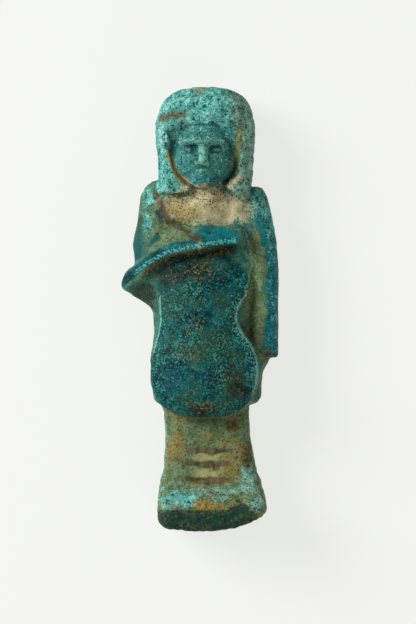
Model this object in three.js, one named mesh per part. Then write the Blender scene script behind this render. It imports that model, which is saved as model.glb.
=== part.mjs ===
// Ushabti figurine: an overseer in a fillet wig and a long projecting kilt, pressed from
// faience paste as one solid. It lies on its back: x runs across the figure, y from the
// soles to the crown, z up out of its front. The origin is on the surface it lies on,
// under the middle of the figure.
import * as THREE from "three";

// Driving sizes, in millimetres
const figure_length = 105;
const figure_width = 37.3;
const figure_depth = 22.3;

// The figure is carved in hundredths of its length. Its width and depth in those units
// turn the three driving sizes into one scale for each axis.
const carved_length = 100;
const carved_width = 35.37;
const carved_depth = 21.03;
const carved_middle = 0.01;
const scale = new THREE.Vector3(
  figure_width / carved_width,
  figure_length / carved_length,
  figure_depth / carved_depth,
);

// A smooth curve through a short list of [place, value] pairs
function profile(pairs) {
  const last = pairs.length - 1;
  const slopes = pairs.map(([place, value], k) => {
    const [place_before, value_before] = pairs[Math.max(k - 1, 0)];
    const [place_after, value_after] = pairs[Math.min(k + 1, last)];
    if (k === 0 || k === last) return (value_after - value_before) / (place_after - place_before);
    const before = place - place_before;
    const after = place_after - place;
    return (
      (((value - value_before) / before) * after + ((value_after - value) / after) * before) /
      (before + after)
    );
  });
  return (place) => {
    let i = 0;
    while (i < last - 1 && place > pairs[i + 1][0]) i++;
    const width = pairs[i + 1][0] - pairs[i][0];
    const u = Math.min(Math.max((place - pairs[i][0]) / width, 0), 1);
    const [uu, uuu] = [u * u, u * u * u];
    return (
      (2 * uuu - 3 * uu + 1) * pairs[i][1] +
      (uuu - 2 * uu + u) * width * slopes[i] +
      (3 * uu - 2 * uuu) * pairs[i + 1][1] +
      (uuu - uu) * width * slopes[i + 1]
    );
  };
}

// Every size and place below is in carved units, and profiles run along y

const face_middle = 0.6;
const face_level = 33.2;

// How softly the parts run into each other: the radius of the hollow at each join
const blend = {
  arm_and_chest: 5.0,
  kilt: 2.0,
  sleeve: 2.0,
  straight_arm: 0.8,
  panel: 1.2,
  forearm: 2.4,
  within_arm: 1.5,
  within_forearm: 1.0,
  within_sleeve: 2.0,
  elbow_point: 1.4,
  forearm_slope: 2.2,
  neck: 3.0,
  panel_parts: 3.5,
  wig_parts: 1.2,
  legs: 1.0,
  foot: 1.6,
  head: 0.5,
  ear: 0.25,
  ear_hollow: 0.3,
  face: 0.6,
  jaw: 3.0,
  chin: 1.8,
  cheek: 1.5,
  socket: 1.0,
  eye: 0.25,
  brow: 0.9,
  nose: 0.8,
  nostril: 0.4,
  lips: 0.5,
  between_lips: 0.15,
};

const wig = {
  cap: { middle: [1.1, 40.6, 8.2], reach: [11.0, 9.4, 8.6], fullness: 2.6 },
  left: profile([[22, -9.4], [27, -9.6], [33, -9.6], [40, -9.8], [45, -9.0]]),
  right: profile([[22, 9.8], [27, 11.3], [33, 11.9], [40, 12.0], [45, 11.2]]),
  front: 15.3,
  front_lean: 0.05,
  back: -0.6,
  edge: 5.0,
  top: 43,
  top_edge: 2.0,
  hem_edge: 0.6,
  // The lower edge, as [x, y] pairs: two lappets in front with the throat between them
  hem: profile([[-12, 26.2], [-6, 25.6], [-3, 26.2], [0, 27.5], [5, 27.4], [9, 24.4], [13, 22.5]]),
  back_drop: 4,
  drop_from: 7,
  drop_over: 3,
};

// The opening for the face: its sides follow the jaw, its top is a straight brow, and its
// floor falls away from the brow to the throat.
const opening = {
  middle: [0.9, 35.0],
  reach: [8.3, 9.5],
  fullness: 2.2,
  lean: 0.12,
  brow_level: 40.9,
  brow_edge: 3.0,
  floor: 13.5,
  floor_rise: 0.27,
  flare: 0.5,
  floor_edge: 1.2,
  rim_edge: 1.3,
};

// The face is a calm one on plain proportions: brow, eyes, nose, mouth and chin are
// set down its middle by thirds. Its heights are from a plane a little above the back.
const face = {
  rise: 0.7,
  skull: { middle: [0, 36.2, 7.2], reach: [7.5, 7.8, 9.0], fullness: 2.4 },
  jaw: { middle: [0, 32.6, 7.8], reach: [6.7, 6.2, 8.6], fullness: 2.3 },
  chin: { middle: [0, 28.3, 14.6], reach: [2.3, 1.6, 1.5] },
  cheek: { middle: [3.8, 32.9, 13.6], reach: [2.3, 2.5, 1.9] },
  socket: { middle: [3.1, 35.7, 17.8], reach: [2.7, 1.45, 2.2] },
  eye: { middle: [3.1, 35.5, 14.6], reach: [1.7, 0.85, 1.4] },
  brow: { from: [1.1, 37.3, 16.1], to: [5.1, 36.9, 14.7], thick: [0.55, 0.35] },
  nose: { from: [0, 36.6, 15.9], to: [0, 32.9, 17.7], thick: [0.7, 1.1] },
  nostril: { middle: [1.1, 32.5, 16.5], reach: [0.9, 0.75, 0.9] },
  upper_lip: { from: [0, 30.8, 16.6], to: [2.0, 30.5, 15.5], thick: [0.55, 0.3] },
  lower_lip: { from: [0, 29.75, 16.4], to: [1.5, 30.0, 15.6], thick: [0.55, 0.3] },
};

const ear = {
  shell: { middle: [8.7, 37.9, 14.8], reach: [1.1, 2.1, 1.6] },
  hollow: { middle: [8.7, 38.1, 16.5], reach: [0.5, 1.2, 0.9] },
};

const torso = {
  left: profile([[-4, -9.5], [2, -10.0], [9, -11], [20, -11.5], [24, -11.5], [28, -10.6]]),
  right: profile([[-4, 12], [9, 13], [20, 13], [24, 12], [28, 10]]),
  front: profile([[-4, 11.0], [6, 12.4], [14, 12.8], [20, 12.4], [25, 11.8], [29, 11.0]]),
  back: 0.5,
  edge: 4.6,
  top: 27.6,
  top_edge: 2.5,
  bottom: -4,
  bottom_edge: 2.5,
  neck: { from: [face_middle, 24, 8.5], to: [face_middle, 30, 8.5], thick: [5.0, 4.6] },
};

// The bent arm: shoulder, elbow, wrist and fingertips. The forearm is a crest with a slope
// above it, whose bars lie beside the crest's own.
const bent_arm = {
  shoulder: [-9.3, 23.8, 7.2],
  biceps: [-10.9, 14.0, 8.4],
  inner_elbow: [-11.6, 7.0, 9.4],
  elbow: [-14.8, 6.6, 10.9],
  near_forearm: [-10.9, 10.4, 13.2],
  forearm: [-6.6, 12.4, 14.6],
  wrist: [1.0, 14.0, 16.1],
  fingertips: [8.7, 15.5, 16.0],
  to_slope: [-0.6, 1.7, -2.0],
  shoulder_thick: 4.1,
  biceps_thick: 4.15,
  inner_elbow_thick: 3.4,
  elbow_thick: 2.8,
  near_forearm_thick: 2.2,
  forearm_thick: 2.0,
  wrist_thick: 1.8,
  fingertips_thick: 1.65,
  slope_thick: [2.1, 2.1, 1.6],
  point: { middle: [-16.5, 5.2, 10.6], reach: [1.8, 1.7, 2.3] },
};

// The sleeve hangs from the elbow back to the waist
const sleeve = {
  lower: { from: [-13.9, 4.6, 9.2], to: [-7.5, 2.0, 8.0], thick: [2.5, 3.2] },
  upper: { from: [-12.6, 7.0, 7.5], to: [-7.0, 3.0, 8.5], thick: [2.8, 3.6] },
};

const straight_arm = {
  inner: profile([[-12, 11.9], [-6, 11.2], [4, 11.2], [12, 11.0], [20, 9.6], [26, 8.0]]),
  outer: profile([[-12, 17.6], [0, 17.65], [10, 17.6], [16, 17.1], [21, 16.2], [24.5, 15.3], [27, 14.4]]),
  front: profile([[-12, 12.2], [0, 12.6], [10, 12.8], [18, 12.4], [24, 11.2], [27, 9.6]]),
  back: 1.2,
  edge: 3.0,
  top: 27.6,
  top_edge: 1.8,
  bottom: -11.3,
  bottom_edge: 0.9,
};

const kilt = {
  left: -10.6,
  right: profile([[-22, 13.8], [-17, 14.0], [-14.5, 14.3], [-12.5, 15.4], [-10, 16], [-6, 15]]),
  front: 10.5,
  back: -0.5,
  edge: 3.6,
  top: 4,
  top_edge: 2.0,
  bottom: -21.9,
  bottom_edge: 2.4,
};

// The kilt's front panel, shaped like the body of a violin
const panel = {
  upper: { middle: [1.5, 9.4], reach: [10.2, 8.8], fullness: 3.5 },
  lower: { middle: [0.9, -14.4], reach: [12.2, 10.4], fullness: 2.5 },
  waist: { middle: [-0.5, -2], half: [8.9, 8] },
  crest: profile([
    [-25, 19.6], [-21, 20.9], [-16, 20.9], [-10, 19.6], [-4, 18.3],
    [2, 17.2], [7, 16.0], [11, 15.0], [16, 14.8], [19, 14.4],
  ]),
  crown: 2.2,
  half_width: 11.5,
  edge: 2.2,
  back: 4,
  back_edge: 1.0,
};

const legs = {
  left: profile([[-44, -9.0], [-40, -8.7], [-34, -8.2], [-28, -8.0], [-22, -8.6]]),
  right: profile([[-44, 14.2], [-40, 13.4], [-34, 12.1], [-28, 11.2], [-22, 10.9]]),
  front: profile([[-46, 12.2], [-40, 12.3], [-30, 12.6], [-20, 12.6]]),
  back: 0.8,
  edge: 3.0,
  top: -18,
  top_edge: 1.0,
  bottom: -46,
  bottom_edge: 1.0,
};

const foot = {
  left: profile([[-50, -9.0], [-48, -9.5], [-45, -9.6], [-42, -9.2], [-38, -8.4]]),
  right: profile([[-50, 14.2], [-46, 14.7], [-44, 14.6], [-42, 14.1], [-38, 12.9]]),
  front: profile([
    [-51, 18.8], [-49, 20.0], [-46, 20.6], [-44, 20.3], [-42, 18.0], [-40, 14.6], [-38, 12.4],
  ]),
  back: -0.5,
  edge: 3.2,
  top: -38.5,
  top_edge: 1.5,
  bottom: -60,
  bottom_edge: 1.0,
  sole_edge: 1.3,
  // The worn sole, as [x, y] pairs
  sole: profile([[-11, -48.4], [-8, -49.4], [-2, -50.0], [4, -49.9], [9, -49.0], [12, -47.7], [16, -45.4]]),
};

// The skin is read along rays, ring by ring. In each ring the rays leave a short spine
// inside the section and fan out at its two ends.
const rays_front = 33;
const rays_side = 8;
const rays_back = 5;
const rings_end = 4;
const spine_left = profile([
  [-50, -5], [-38, -4], [-24, -5], [0, -7], [8, -9], [22, -8], [28, -5], [50, -4],
]);
const spine_right = profile([
  [-50, 9], [-38, 8], [-24, 9], [-12, 11.5], [-9, 13.5], [20, 12.5], [27, 8], [50, 7],
]);
const spine_height = 7.5;
const ray_lean = THREE.MathUtils.degToRad(25);
const ray_start = 30;
const ray_steps = 90;
const step_share = 0.75;
const end_ray_start = 60;
const close_enough = 1e-4;

// After the rays, the skin is evened out, so that steep walls get their share of points,
// and is put back on the form each time. The last rounds only smooth it.
const evening_rounds = 10;
const smoothing_rounds = 2;
const evening_share = 0.5;
const elbow_tip = -13;
const tip_share = 0.2;
const evening_from = 1.5;
const slope_step = 0.02;
const least_slope = 0.1;
const flat_within = 0.01;
const rim_radius = 1.0;

// The head and the legs are only worked out near where they are
const head_from = 19;
const legs_to = -15;
const far_away = 1e3;

// Rings stand closer where the form turns quickly: the toes, the hem, the hand, the face
const ring_runs = [
  { to: -44, rings: 4 },
  { to: -38, rings: 5 },
  { to: -26, rings: 3 },
  { to: -22.5, rings: 7 },
  { to: -13, rings: 5 },
  { to: -10.4, rings: 4 },
  { to: 3, rings: 7 },
  { to: 18, rings: 15 },
  { to: 26, rings: 7 },
  { to: 42.5, rings: 23 },
  { to: 47.6, rings: 4 },
];
const first_ring = -48.4;

// Shapes as distances: below zero inside, above zero outside

const clamp = THREE.MathUtils.clamp;

// Two shapes run together, with a soft hollow of the given radius where they meet
function join(a, b, radius) {
  const share = clamp(0.5 + (0.5 * (b - a)) / radius, 0, 1);
  return b + (a - b) * share - radius * share * (1 - share);
}

// What two shapes have in common, with a soft edge
function common(a, b, radius) {
  return -join(-a, -b, radius);
}

function cut(a, b, radius) {
  return common(a, -b, radius);
}

function ball(x, y, z, { middle, reach }) {
  const dx = (x - middle[0]) / reach[0];
  const dy = (y - middle[1]) / reach[1];
  const dz = (z - middle[2]) / reach[2];
  const size = Math.hypot(dx, dy, dz);
  const slope = Math.hypot(dx / reach[0], dy / reach[1], dz / reach[2]);
  return (size * (size - 1)) / Math.max(slope, 1e-9);
}

// A ball with fuller corners; without a third size it is an upright prism
function pillow(point, { middle, reach, fullness }) {
  let sum = 0;
  for (let i = 0; i < reach.length; i++) {
    sum += Math.abs((point[i] - middle[i]) / reach[i]) ** fullness;
  }
  return (sum ** (1 / fullness) - 1) * Math.min(...reach);
}

// A round bar that changes thickness from one end to the other
function bar(x, y, z, { from, to, thick }) {
  const d = [to[0] - from[0], to[1] - from[1], to[2] - from[2]];
  const p = [x - from[0], y - from[1], z - from[2]];
  const along_bar = (p[0] * d[0] + p[1] * d[1] + p[2] * d[2]) / (d[0] ** 2 + d[1] ** 2 + d[2] ** 2);
  const t = clamp(along_bar, 0, 1);
  const away = Math.hypot(p[0] - t * d[0], p[1] - t * d[1], p[2] - t * d[2]);
  return away - (thick[0] + (thick[1] - thick[0]) * t);
}

// A block with rounded long edges, whose sides follow profiles
function slab(x, z, left, right, back, front, edge) {
  const qx = Math.abs(x - (left + right) / 2) - (right - left) / 2 + edge;
  const qz = Math.abs(z - (back + front) / 2) - (front - back) / 2 + edge;
  return Math.hypot(Math.max(qx, 0), Math.max(qz, 0)) + Math.min(Math.max(qx, qz), 0) - edge;
}

// The wig: a full cap over a fall that ends in two lappets in front and lower behind
function wig_shape(x, y, z) {
  const cap = pillow([x, y, z], wig.cap);
  const front = wig.front + wig.front_lean * (y - face_level);
  let fall = slab(x, z, wig.left(y), wig.right(y), wig.back, front, wig.edge);
  fall = common(fall, y - wig.top, wig.top_edge);
  const drop = wig.back_drop * clamp((wig.drop_from - z) / wig.drop_over, 0, 1);
  fall = common(fall, wig.hem(x) - drop - y, wig.hem_edge);
  const hair = join(cap, fall, blend.wig_parts);
  const place = [x + opening.lean * (y - opening.middle[1]), y];
  const outline = common(pillow(place, opening), y - opening.brow_level, opening.brow_edge);
  const sides = outline - opening.flare * (z - wig.front);
  const floor = opening.floor + opening.floor_rise * (y - face_level);
  const hollow = common(sides, floor - z, opening.floor_edge);
  return cut(hair, hollow, opening.rim_edge);
}

function face_shape(x, y, height) {
  const side = Math.abs(x - face_middle);
  const z = height - face.rise;
  let shape = join(pillow([side, y, z], face.skull), pillow([side, y, z], face.jaw), blend.jaw);
  shape = join(shape, ball(side, y, z, face.chin), blend.chin);
  shape = join(shape, ball(side, y, z, face.cheek), blend.cheek);
  shape = cut(shape, ball(side, y, z, face.socket), blend.socket);
  shape = join(shape, ball(side, y, z, face.eye), blend.eye);
  shape = join(shape, bar(side, y, z, face.brow), blend.brow);
  shape = join(shape, bar(side, y, z, face.nose), blend.nose);
  shape = join(shape, ball(side, y, z, face.nostril), blend.nostril);
  const upper_lip = bar(side, y, z, face.upper_lip);
  const lower_lip = bar(side, y, z, face.lower_lip);
  return join(shape, join(upper_lip, lower_lip, blend.between_lips), blend.lips);
}

function ear_shape(x, y, z) {
  const side = Math.abs(x - face_middle);
  return cut(ball(side, y, z, ear.shell), ball(side, y, z, ear.hollow), blend.ear_hollow);
}

// A run of the body between its top and bottom, cut from a slab
function trunk(x, y, z, part, left, right, front) {
  let shape = slab(x, z, left, right, part.back, front, part.edge);
  shape = common(shape, y - part.top, part.top_edge);
  return common(shape, part.bottom - y, part.bottom_edge);
}

function torso_shape(x, y, z) {
  const [left, right, front] = [torso.left, torso.right, torso.front].map((side) => side(y));
  const chest = trunk(x, y, z, torso, left, right, front);
  return join(chest, bar(x, y, z, torso.neck), blend.neck);
}

function upper_arm_shape(x, y, z) {
  const a = bent_arm;
  const shoulder = { from: a.shoulder, to: a.biceps, thick: [a.shoulder_thick, a.biceps_thick] };
  const biceps = { from: a.biceps, to: a.inner_elbow, thick: [a.biceps_thick, a.inner_elbow_thick] };
  return join(bar(x, y, z, shoulder), bar(x, y, z, biceps), blend.within_arm);
}

function forearm_shape(x, y, z) {
  const a = bent_arm;
  const near = { from: a.elbow, to: a.near_forearm, thick: [a.elbow_thick, a.near_forearm_thick] };
  const far = { from: a.near_forearm, to: a.forearm, thick: [a.near_forearm_thick, a.forearm_thick] };
  const middle = { from: a.forearm, to: a.wrist, thick: [a.forearm_thick, a.wrist_thick] };
  const hand = { from: a.wrist, to: a.fingertips, thick: [a.wrist_thick, a.fingertips_thick] };
  let arm = join(bar(x, y, z, near), bar(x, y, z, far), blend.within_forearm);
  arm = join(arm, bar(x, y, z, middle), blend.within_forearm);
  arm = join(arm, bar(x, y, z, hand), blend.within_forearm);
  const [forearm, wrist, fingertips] = [a.forearm, a.wrist, a.fingertips].map((place) =>
    place.map((value, i) => value + a.to_slope[i]),
  );
  const upper = { from: forearm, to: wrist, thick: a.slope_thick.slice(0, 2) };
  const outer = { from: wrist, to: fingertips, thick: a.slope_thick.slice(1) };
  const slope = join(bar(x, y, z, upper), bar(x, y, z, outer), blend.within_forearm);
  arm = join(arm, slope, blend.forearm_slope);
  return join(arm, ball(x, y, z, a.point), blend.elbow_point);
}

function sleeve_shape(x, y, z) {
  return join(bar(x, y, z, sleeve.lower), bar(x, y, z, sleeve.upper), blend.within_sleeve);
}

function straight_arm_shape(x, y, z) {
  const { inner, outer, front } = straight_arm;
  const sides = [inner, outer, front].map((side) => side(y));
  return trunk(x, y, z, straight_arm, ...sides);
}

function kilt_shape(x, y, z) {
  return trunk(x, y, z, kilt, kilt.left, kilt.right(y), kilt.front);
}

function panel_shape(x, y, z) {
  const waist = Math.max(
    Math.abs(x - panel.waist.middle[0]) - panel.waist.half[0],
    Math.abs(y - panel.waist.middle[1]) - panel.waist.half[1],
  );
  const upper = join(pillow([x, y], panel.upper), waist, blend.panel_parts);
  const outline = join(upper, pillow([x, y], panel.lower), blend.panel_parts);
  const front = panel.crest(y) - panel.crown * ((x - face_middle) / panel.half_width) ** 2;
  return common(common(outline, z - front, panel.edge), panel.back - z, panel.back_edge);
}

function leg_shape(x, y, z) {
  const sides = [legs.left, legs.right, legs.front].map((side) => side(y));
  return trunk(x, y, z, legs, ...sides);
}

function foot_shape(x, y, z) {
  const sides = [foot.left, foot.right, foot.front].map((side) => side(y));
  const block = trunk(x, y, z, foot, ...sides);
  return common(block, foot.sole(x) - y, foot.sole_edge);
}

// The head and the hair around it
function head_shape(x, y, z) {
  const hair = join(wig_shape(x, y, z), ear_shape(x, y, z), blend.ear);
  return join(hair, face_shape(x, y, z), blend.face);
}

// The shins and feet, with the block that they stand out of
function lower_shape(x, y, z) {
  return join(leg_shape(x, y, z), foot_shape(x, y, z), blend.foot);
}

function body_shape(x, y, z) {
  let body = join(torso_shape(x, y, z), upper_arm_shape(x, y, z), blend.arm_and_chest);
  body = join(body, kilt_shape(x, y, z), blend.kilt);
  body = join(body, sleeve_shape(x, y, z), blend.sleeve);
  body = join(body, straight_arm_shape(x, y, z), blend.straight_arm);
  body = join(body, panel_shape(x, y, z), blend.panel);
  return join(body, forearm_shape(x, y, z), blend.forearm);
}

// The whole figure, worn flat where its back lies on the table
function figure_shape(x, y, z) {
  const lower = y < legs_to ? lower_shape(x, y, z) : far_away;
  const head = y > head_from ? head_shape(x, y, z) : far_away;
  const whole = join(join(body_shape(x, y, z), lower, blend.legs), head, blend.head);
  return common(whole, -z, rim_radius);
}

// Walks a ray in from outside until it meets the figure
function skin_point(from, direction, start) {
  let reach = start;
  for (let i = 0; i < ray_steps; i++) {
    const away = figure_shape(
      from[0] + direction[0] * reach,
      from[1] + direction[1] * reach,
      from[2] + direction[2] * reach,
    );
    reach -= step_share * away;
    if (Math.abs(away) < close_enough) break;
  }
  return new THREE.Vector3(...from).addScaledVector(new THREE.Vector3(...direction), reach);
}

// Puts a point back on the form, straight down the form's slope
function settle(point) {
  const { x, y, z } = point;
  const away = figure_shape(x, y, z);
  const slope = new THREE.Vector3(
    figure_shape(x + slope_step, y, z) - away,
    figure_shape(x, y + slope_step, z) - away,
    figure_shape(x, y, z + slope_step) - away,
  ).divideScalar(slope_step);
  return point.addScaledVector(slope, -away / Math.max(slope.lengthSq(), least_slope));
}

// The rays of one section, as a place on the spine and a lean from straight up
function section_rays(y) {
  const left = spine_left(y);
  const right = spine_right(y);
  const rays = [];
  const half_turn = Math.PI;
  for (let i = 0; i < rays_front; i++) {
    const t = i / rays_front;
    rays.push([left + (right - left) * t, ray_lean * (2 * t - 1)]);
  }
  for (let i = 0; i < rays_side; i++) {
    rays.push([right, ray_lean + (half_turn - 2 * ray_lean) * (i / rays_side)]);
  }
  for (let i = 0; i < rays_back; i++) {
    const t = i / rays_back;
    rays.push([right + (left - right) * t, half_turn + ray_lean * (2 * t - 1)]);
  }
  for (let i = 0; i < rays_side; i++) {
    rays.push([left, half_turn + ray_lean + (half_turn - 2 * ray_lean) * (i / rays_side)]);
  }
  return rays;
}

function ring_at(y) {
  return section_rays(y).map(([x, lean]) =>
    skin_point([x, y, spine_height], [Math.sin(lean), 0, Math.cos(lean)], ray_start),
  );
}

// Rings that close an end: each is the last ring shrunk towards a middle point, and read
// along the length of the figure
function end_rings(ring, way) {
  const middle = new THREE.Vector3();
  for (const point of ring) middle.addScaledVector(point, 1 / ring.length);
  const rings = [];
  for (let k = 1; k <= rings_end; k++) {
    const points = k === rings_end ? [middle] : ring;
    rings.push(
      points.map((point) => {
        const place = point.clone().lerp(middle, k / rings_end);
        return skin_point([place.x, 0, place.z], [0, way, 0], end_ray_start);
      }),
    );
  }
  return rings;
}

function ring_places() {
  const places = [first_ring];
  for (const { to, rings } of ring_runs) {
    const from = places[places.length - 1];
    for (let i = 1; i <= rings; i++) places.push(from + ((to - from) * i) / rings);
  }
  return places;
}

// Draws every point of the front and sides towards the middle of its neighbours, then
// back on the form. The elbow's tip would shrink if it were smoothed as much as the rest.
function even_out(rings, on_form) {
  return rings.map((ring, r) => {
    if (r === 0 || r === rings.length - 1) return ring;
    const at = (k, i) => rings[k][rings[k].length === 1 ? 0 : (i + ring.length) % ring.length];
    return ring.map((point, i) => {
      if (point.z < evening_from) return point;
      const middle = new THREE.Vector3();
      for (const near of [at(r, i - 1), at(r, i + 1), at(r - 1, i), at(r + 1, i)]) {
        middle.addScaledVector(near, 0.25);
      }
      const share = !on_form && point.x < elbow_tip ? tip_share : evening_share;
      const moved = point.clone().lerp(middle, share);
      return on_form ? settle(moved) : moved;
    });
  });
}

// Stitches the rings into one closed skin, from the sole's middle to the crown's
function figure_skin() {
  const body = ring_places().map(ring_at);
  const sole = end_rings(body[0], -1).reverse();
  const crown = end_rings(body[body.length - 1], 1);
  let rings = [...sole, ...body, ...crown];
  for (let i = 0; i < evening_rounds; i++) rings = even_out(rings, true);
  for (let i = 0; i < smoothing_rounds; i++) rings = even_out(rings, false);
  const positions = [];
  const starts = [];
  for (const ring of rings) {
    starts.push(positions.length / 3);
    for (const { x, y, z } of ring) {
      const rest = Math.abs(z) < flat_within ? 0 : z;
      positions.push((x - carved_middle) * scale.x, y * scale.y, rest * scale.z);
    }
  }
  const indices = [];
  for (let r = 0; r + 1 < rings.length; r++) {
    const [low, high] = [rings[r], rings[r + 1]];
    const count = Math.max(low.length, high.length);
    for (let i = 0; i < count; i++) {
      const next = (i + 1) % count;
      const a = starts[r] + (low.length === 1 ? 0 : i);
      const b = starts[r] + (low.length === 1 ? 0 : next);
      const c = starts[r + 1] + (high.length === 1 ? 0 : i);
      const d = starts[r + 1] + (high.length === 1 ? 0 : next);
      if (low.length > 1) indices.push(a, b, c);
      if (high.length > 1) indices.push(b, d, c);
    }
  }
  const geometry = new THREE.BufferGeometry();
  geometry.setAttribute("position", new THREE.Float32BufferAttribute(positions, 3));
  geometry.setIndex(indices);
  geometry.computeVertexNormals();
  return geometry;
}

const faience = new THREE.MeshStandardMaterial({ color: 0x2a8c90, roughness: 0.55, metalness: 0 });
const ushabti = new THREE.Mesh(figure_skin(), faience);
ushabti.name = "ushabti";

const object = new THREE.Group();
object.add(ushabti);

export default object;
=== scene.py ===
import bpy
import numpy as np
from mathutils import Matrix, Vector


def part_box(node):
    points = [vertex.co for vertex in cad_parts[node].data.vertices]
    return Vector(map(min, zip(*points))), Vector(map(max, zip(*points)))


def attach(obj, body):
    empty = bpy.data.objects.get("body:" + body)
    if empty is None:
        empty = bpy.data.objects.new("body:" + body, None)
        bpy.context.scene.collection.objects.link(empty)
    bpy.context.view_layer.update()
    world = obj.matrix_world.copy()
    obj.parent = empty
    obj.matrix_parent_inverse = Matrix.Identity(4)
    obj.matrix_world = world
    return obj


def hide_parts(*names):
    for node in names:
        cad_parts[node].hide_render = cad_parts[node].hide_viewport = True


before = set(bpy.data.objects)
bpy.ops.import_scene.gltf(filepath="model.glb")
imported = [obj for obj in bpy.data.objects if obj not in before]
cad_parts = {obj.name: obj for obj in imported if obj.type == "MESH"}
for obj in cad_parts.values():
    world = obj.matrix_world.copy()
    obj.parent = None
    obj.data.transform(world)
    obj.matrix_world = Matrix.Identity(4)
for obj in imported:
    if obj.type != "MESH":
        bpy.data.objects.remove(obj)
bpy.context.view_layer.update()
mm = 0.001


# The wig: a heavy cap of straight hair with a fillet, falling in two lappets in front of the
# shoulders and lower behind, pressed in one with the body. The figure is carved as distances,
# in hundredths of its length: below nought inside, above nought outside.

def join(a, b, radius):
    """Two forms run together, with the corner between them filled to a radius."""
    share = np.clip(0.5 + 0.5 * (b - a) / radius, 0, 1)
    return b + (a - b) * share - radius * share * (1 - share)


def common(a, b, radius):
    """What two forms have in common, with a rounded edge."""
    return -join(-a, -b, radius)


def cut(a, b, radius):
    """The first form less the second, with a rounded edge."""
    return common(a, -b, radius)


def profile(*pairs):
    """A smooth curve through [place, value] pairs, read at any place."""
    places, values = np.array(pairs, float).T
    slopes = np.gradient(values, places)

    def read(place):
        i = np.clip(np.searchsorted(places, place) - 1, 0, len(places) - 2)
        width = places[i + 1] - places[i]
        u = np.clip((place - places[i]) / width, 0, 1)
        return (
            (2 * u**3 - 3 * u**2 + 1) * values[i]
            + (u**3 - 2 * u**2 + u) * width * slopes[i]
            + (3 * u**2 - 2 * u**3) * values[i + 1]
            + (u**3 - u**2) * width * slopes[i + 1]
        )

    return read


def pillow(place, middle, reach, fullness):
    """A ball with fuller corners; with two places it is an upright prism."""
    total = 0
    for value, centre, half in zip(place, middle, reach):
        total = total + np.abs((value - centre) / half) ** fullness
    return (total ** (1 / fullness) - 1) * min(reach)


def slab(x, z, left, right, back, front, edge):
    """A block with rounded long edges, whose sides may follow profiles."""
    qx = np.abs(x - (left + right) / 2) - (right - left) / 2 + edge
    qz = np.abs(z - (back + front) / 2) - (front - back) / 2 + edge
    out = np.hypot(np.maximum(qx, 0), np.maximum(qz, 0))
    return out + np.minimum(np.maximum(qx, qz), 0) - edge


face_middle = 0.6
face_level = 33.2
wig_left = profile([22, -9.4], [27, -9.6], [33, -9.6], [40, -9.8], [45, -9.0])
wig_right = profile([22, 9.8], [27, 11.3], [33, 11.9], [40, 12.0], [45, 11.2])
wig_hem = profile([-12, 26.2], [-6, 25.6], [-3, 26.2], [0, 27.5], [5, 27.4], [9, 24.4], [13, 22.5])
wig_front = 15.3
wig_lean = 0.05
wig_back = -0.6
wig_edge = 5.0
wig_top = 43
crown_middle = (1.1, 40.6, 8.2)
crown_reach = (11.0, 9.4, 8.6)
crown_fullness = 2.6
brow_level = 40.9
opening_middle = (0.9, 35.0)
opening_reach = (8.3, 9.5)
opening_fullness = 2.2
opening_lean = 0.12
opening_floor = 13.0
opening_rise = 0.34
opening_flare = 0.5
nape_drop = 4


def opening_outline(x, y):
    place = (x + opening_lean * (y - opening_middle[1]), y)
    return pillow(place, opening_middle, opening_reach, opening_fullness)


def wig_shape(x, y, z):
    cap = pillow((x, y, z), crown_middle, crown_reach, crown_fullness)
    front = wig_front + wig_lean * (y - face_level)
    fall = slab(x, z, wig_left(y), wig_right(y), wig_back, front, wig_edge)
    fall = common(fall, y - wig_top, 2.0)
    lower_behind = nape_drop * np.clip((7 - z) / 3, 0, 1)
    fall = common(fall, wig_hem(x) - lower_behind - y, 0.6)
    hair = join(cap, fall, 1.2)
    outline = common(opening_outline(x, y), y - brow_level, 3.0)
    outline = outline - opening_flare * (z - wig_front)
    floor = opening_floor + opening_rise * (y - face_level)
    return cut(hair, common(outline, floor - z, 0.8), 0.8)


# The face: a calm, plain one set by thirds between the wig's edge and the chin, with small
# ears in front of the wig. It is pressed in low relief.

def ball(x, y, z, middle, reach):
    """An egg-shaped lump, with its reach along x, y and z."""
    dx = (x - middle[0]) / reach[0]
    dy = (y - middle[1]) / reach[1]
    dz = (z - middle[2]) / reach[2]
    size = np.sqrt(dx**2 + dy**2 + dz**2)
    slope = np.sqrt((dx / reach[0]) ** 2 + (dy / reach[1]) ** 2 + (dz / reach[2]) ** 2)
    return size * (size - 1) / np.maximum(slope, 1e-9)


def bar(x, y, z, start, end, thick_start, thick_end):
    """A round bar that changes thickness from one end to the other."""
    start = np.array(start, float)
    along = np.array(end, float) - start
    dx, dy, dz = x - start[0], y - start[1], z - start[2]
    t = np.clip((dx * along[0] + dy * along[1] + dz * along[2]) / (along @ along), 0, 1)
    away = np.sqrt((dx - t * along[0]) ** 2 + (dy - t * along[1]) ** 2 + (dz - t * along[2]) ** 2)
    return away - (thick_start + (thick_end - thick_start) * t)


face_rise = 0.7


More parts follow.
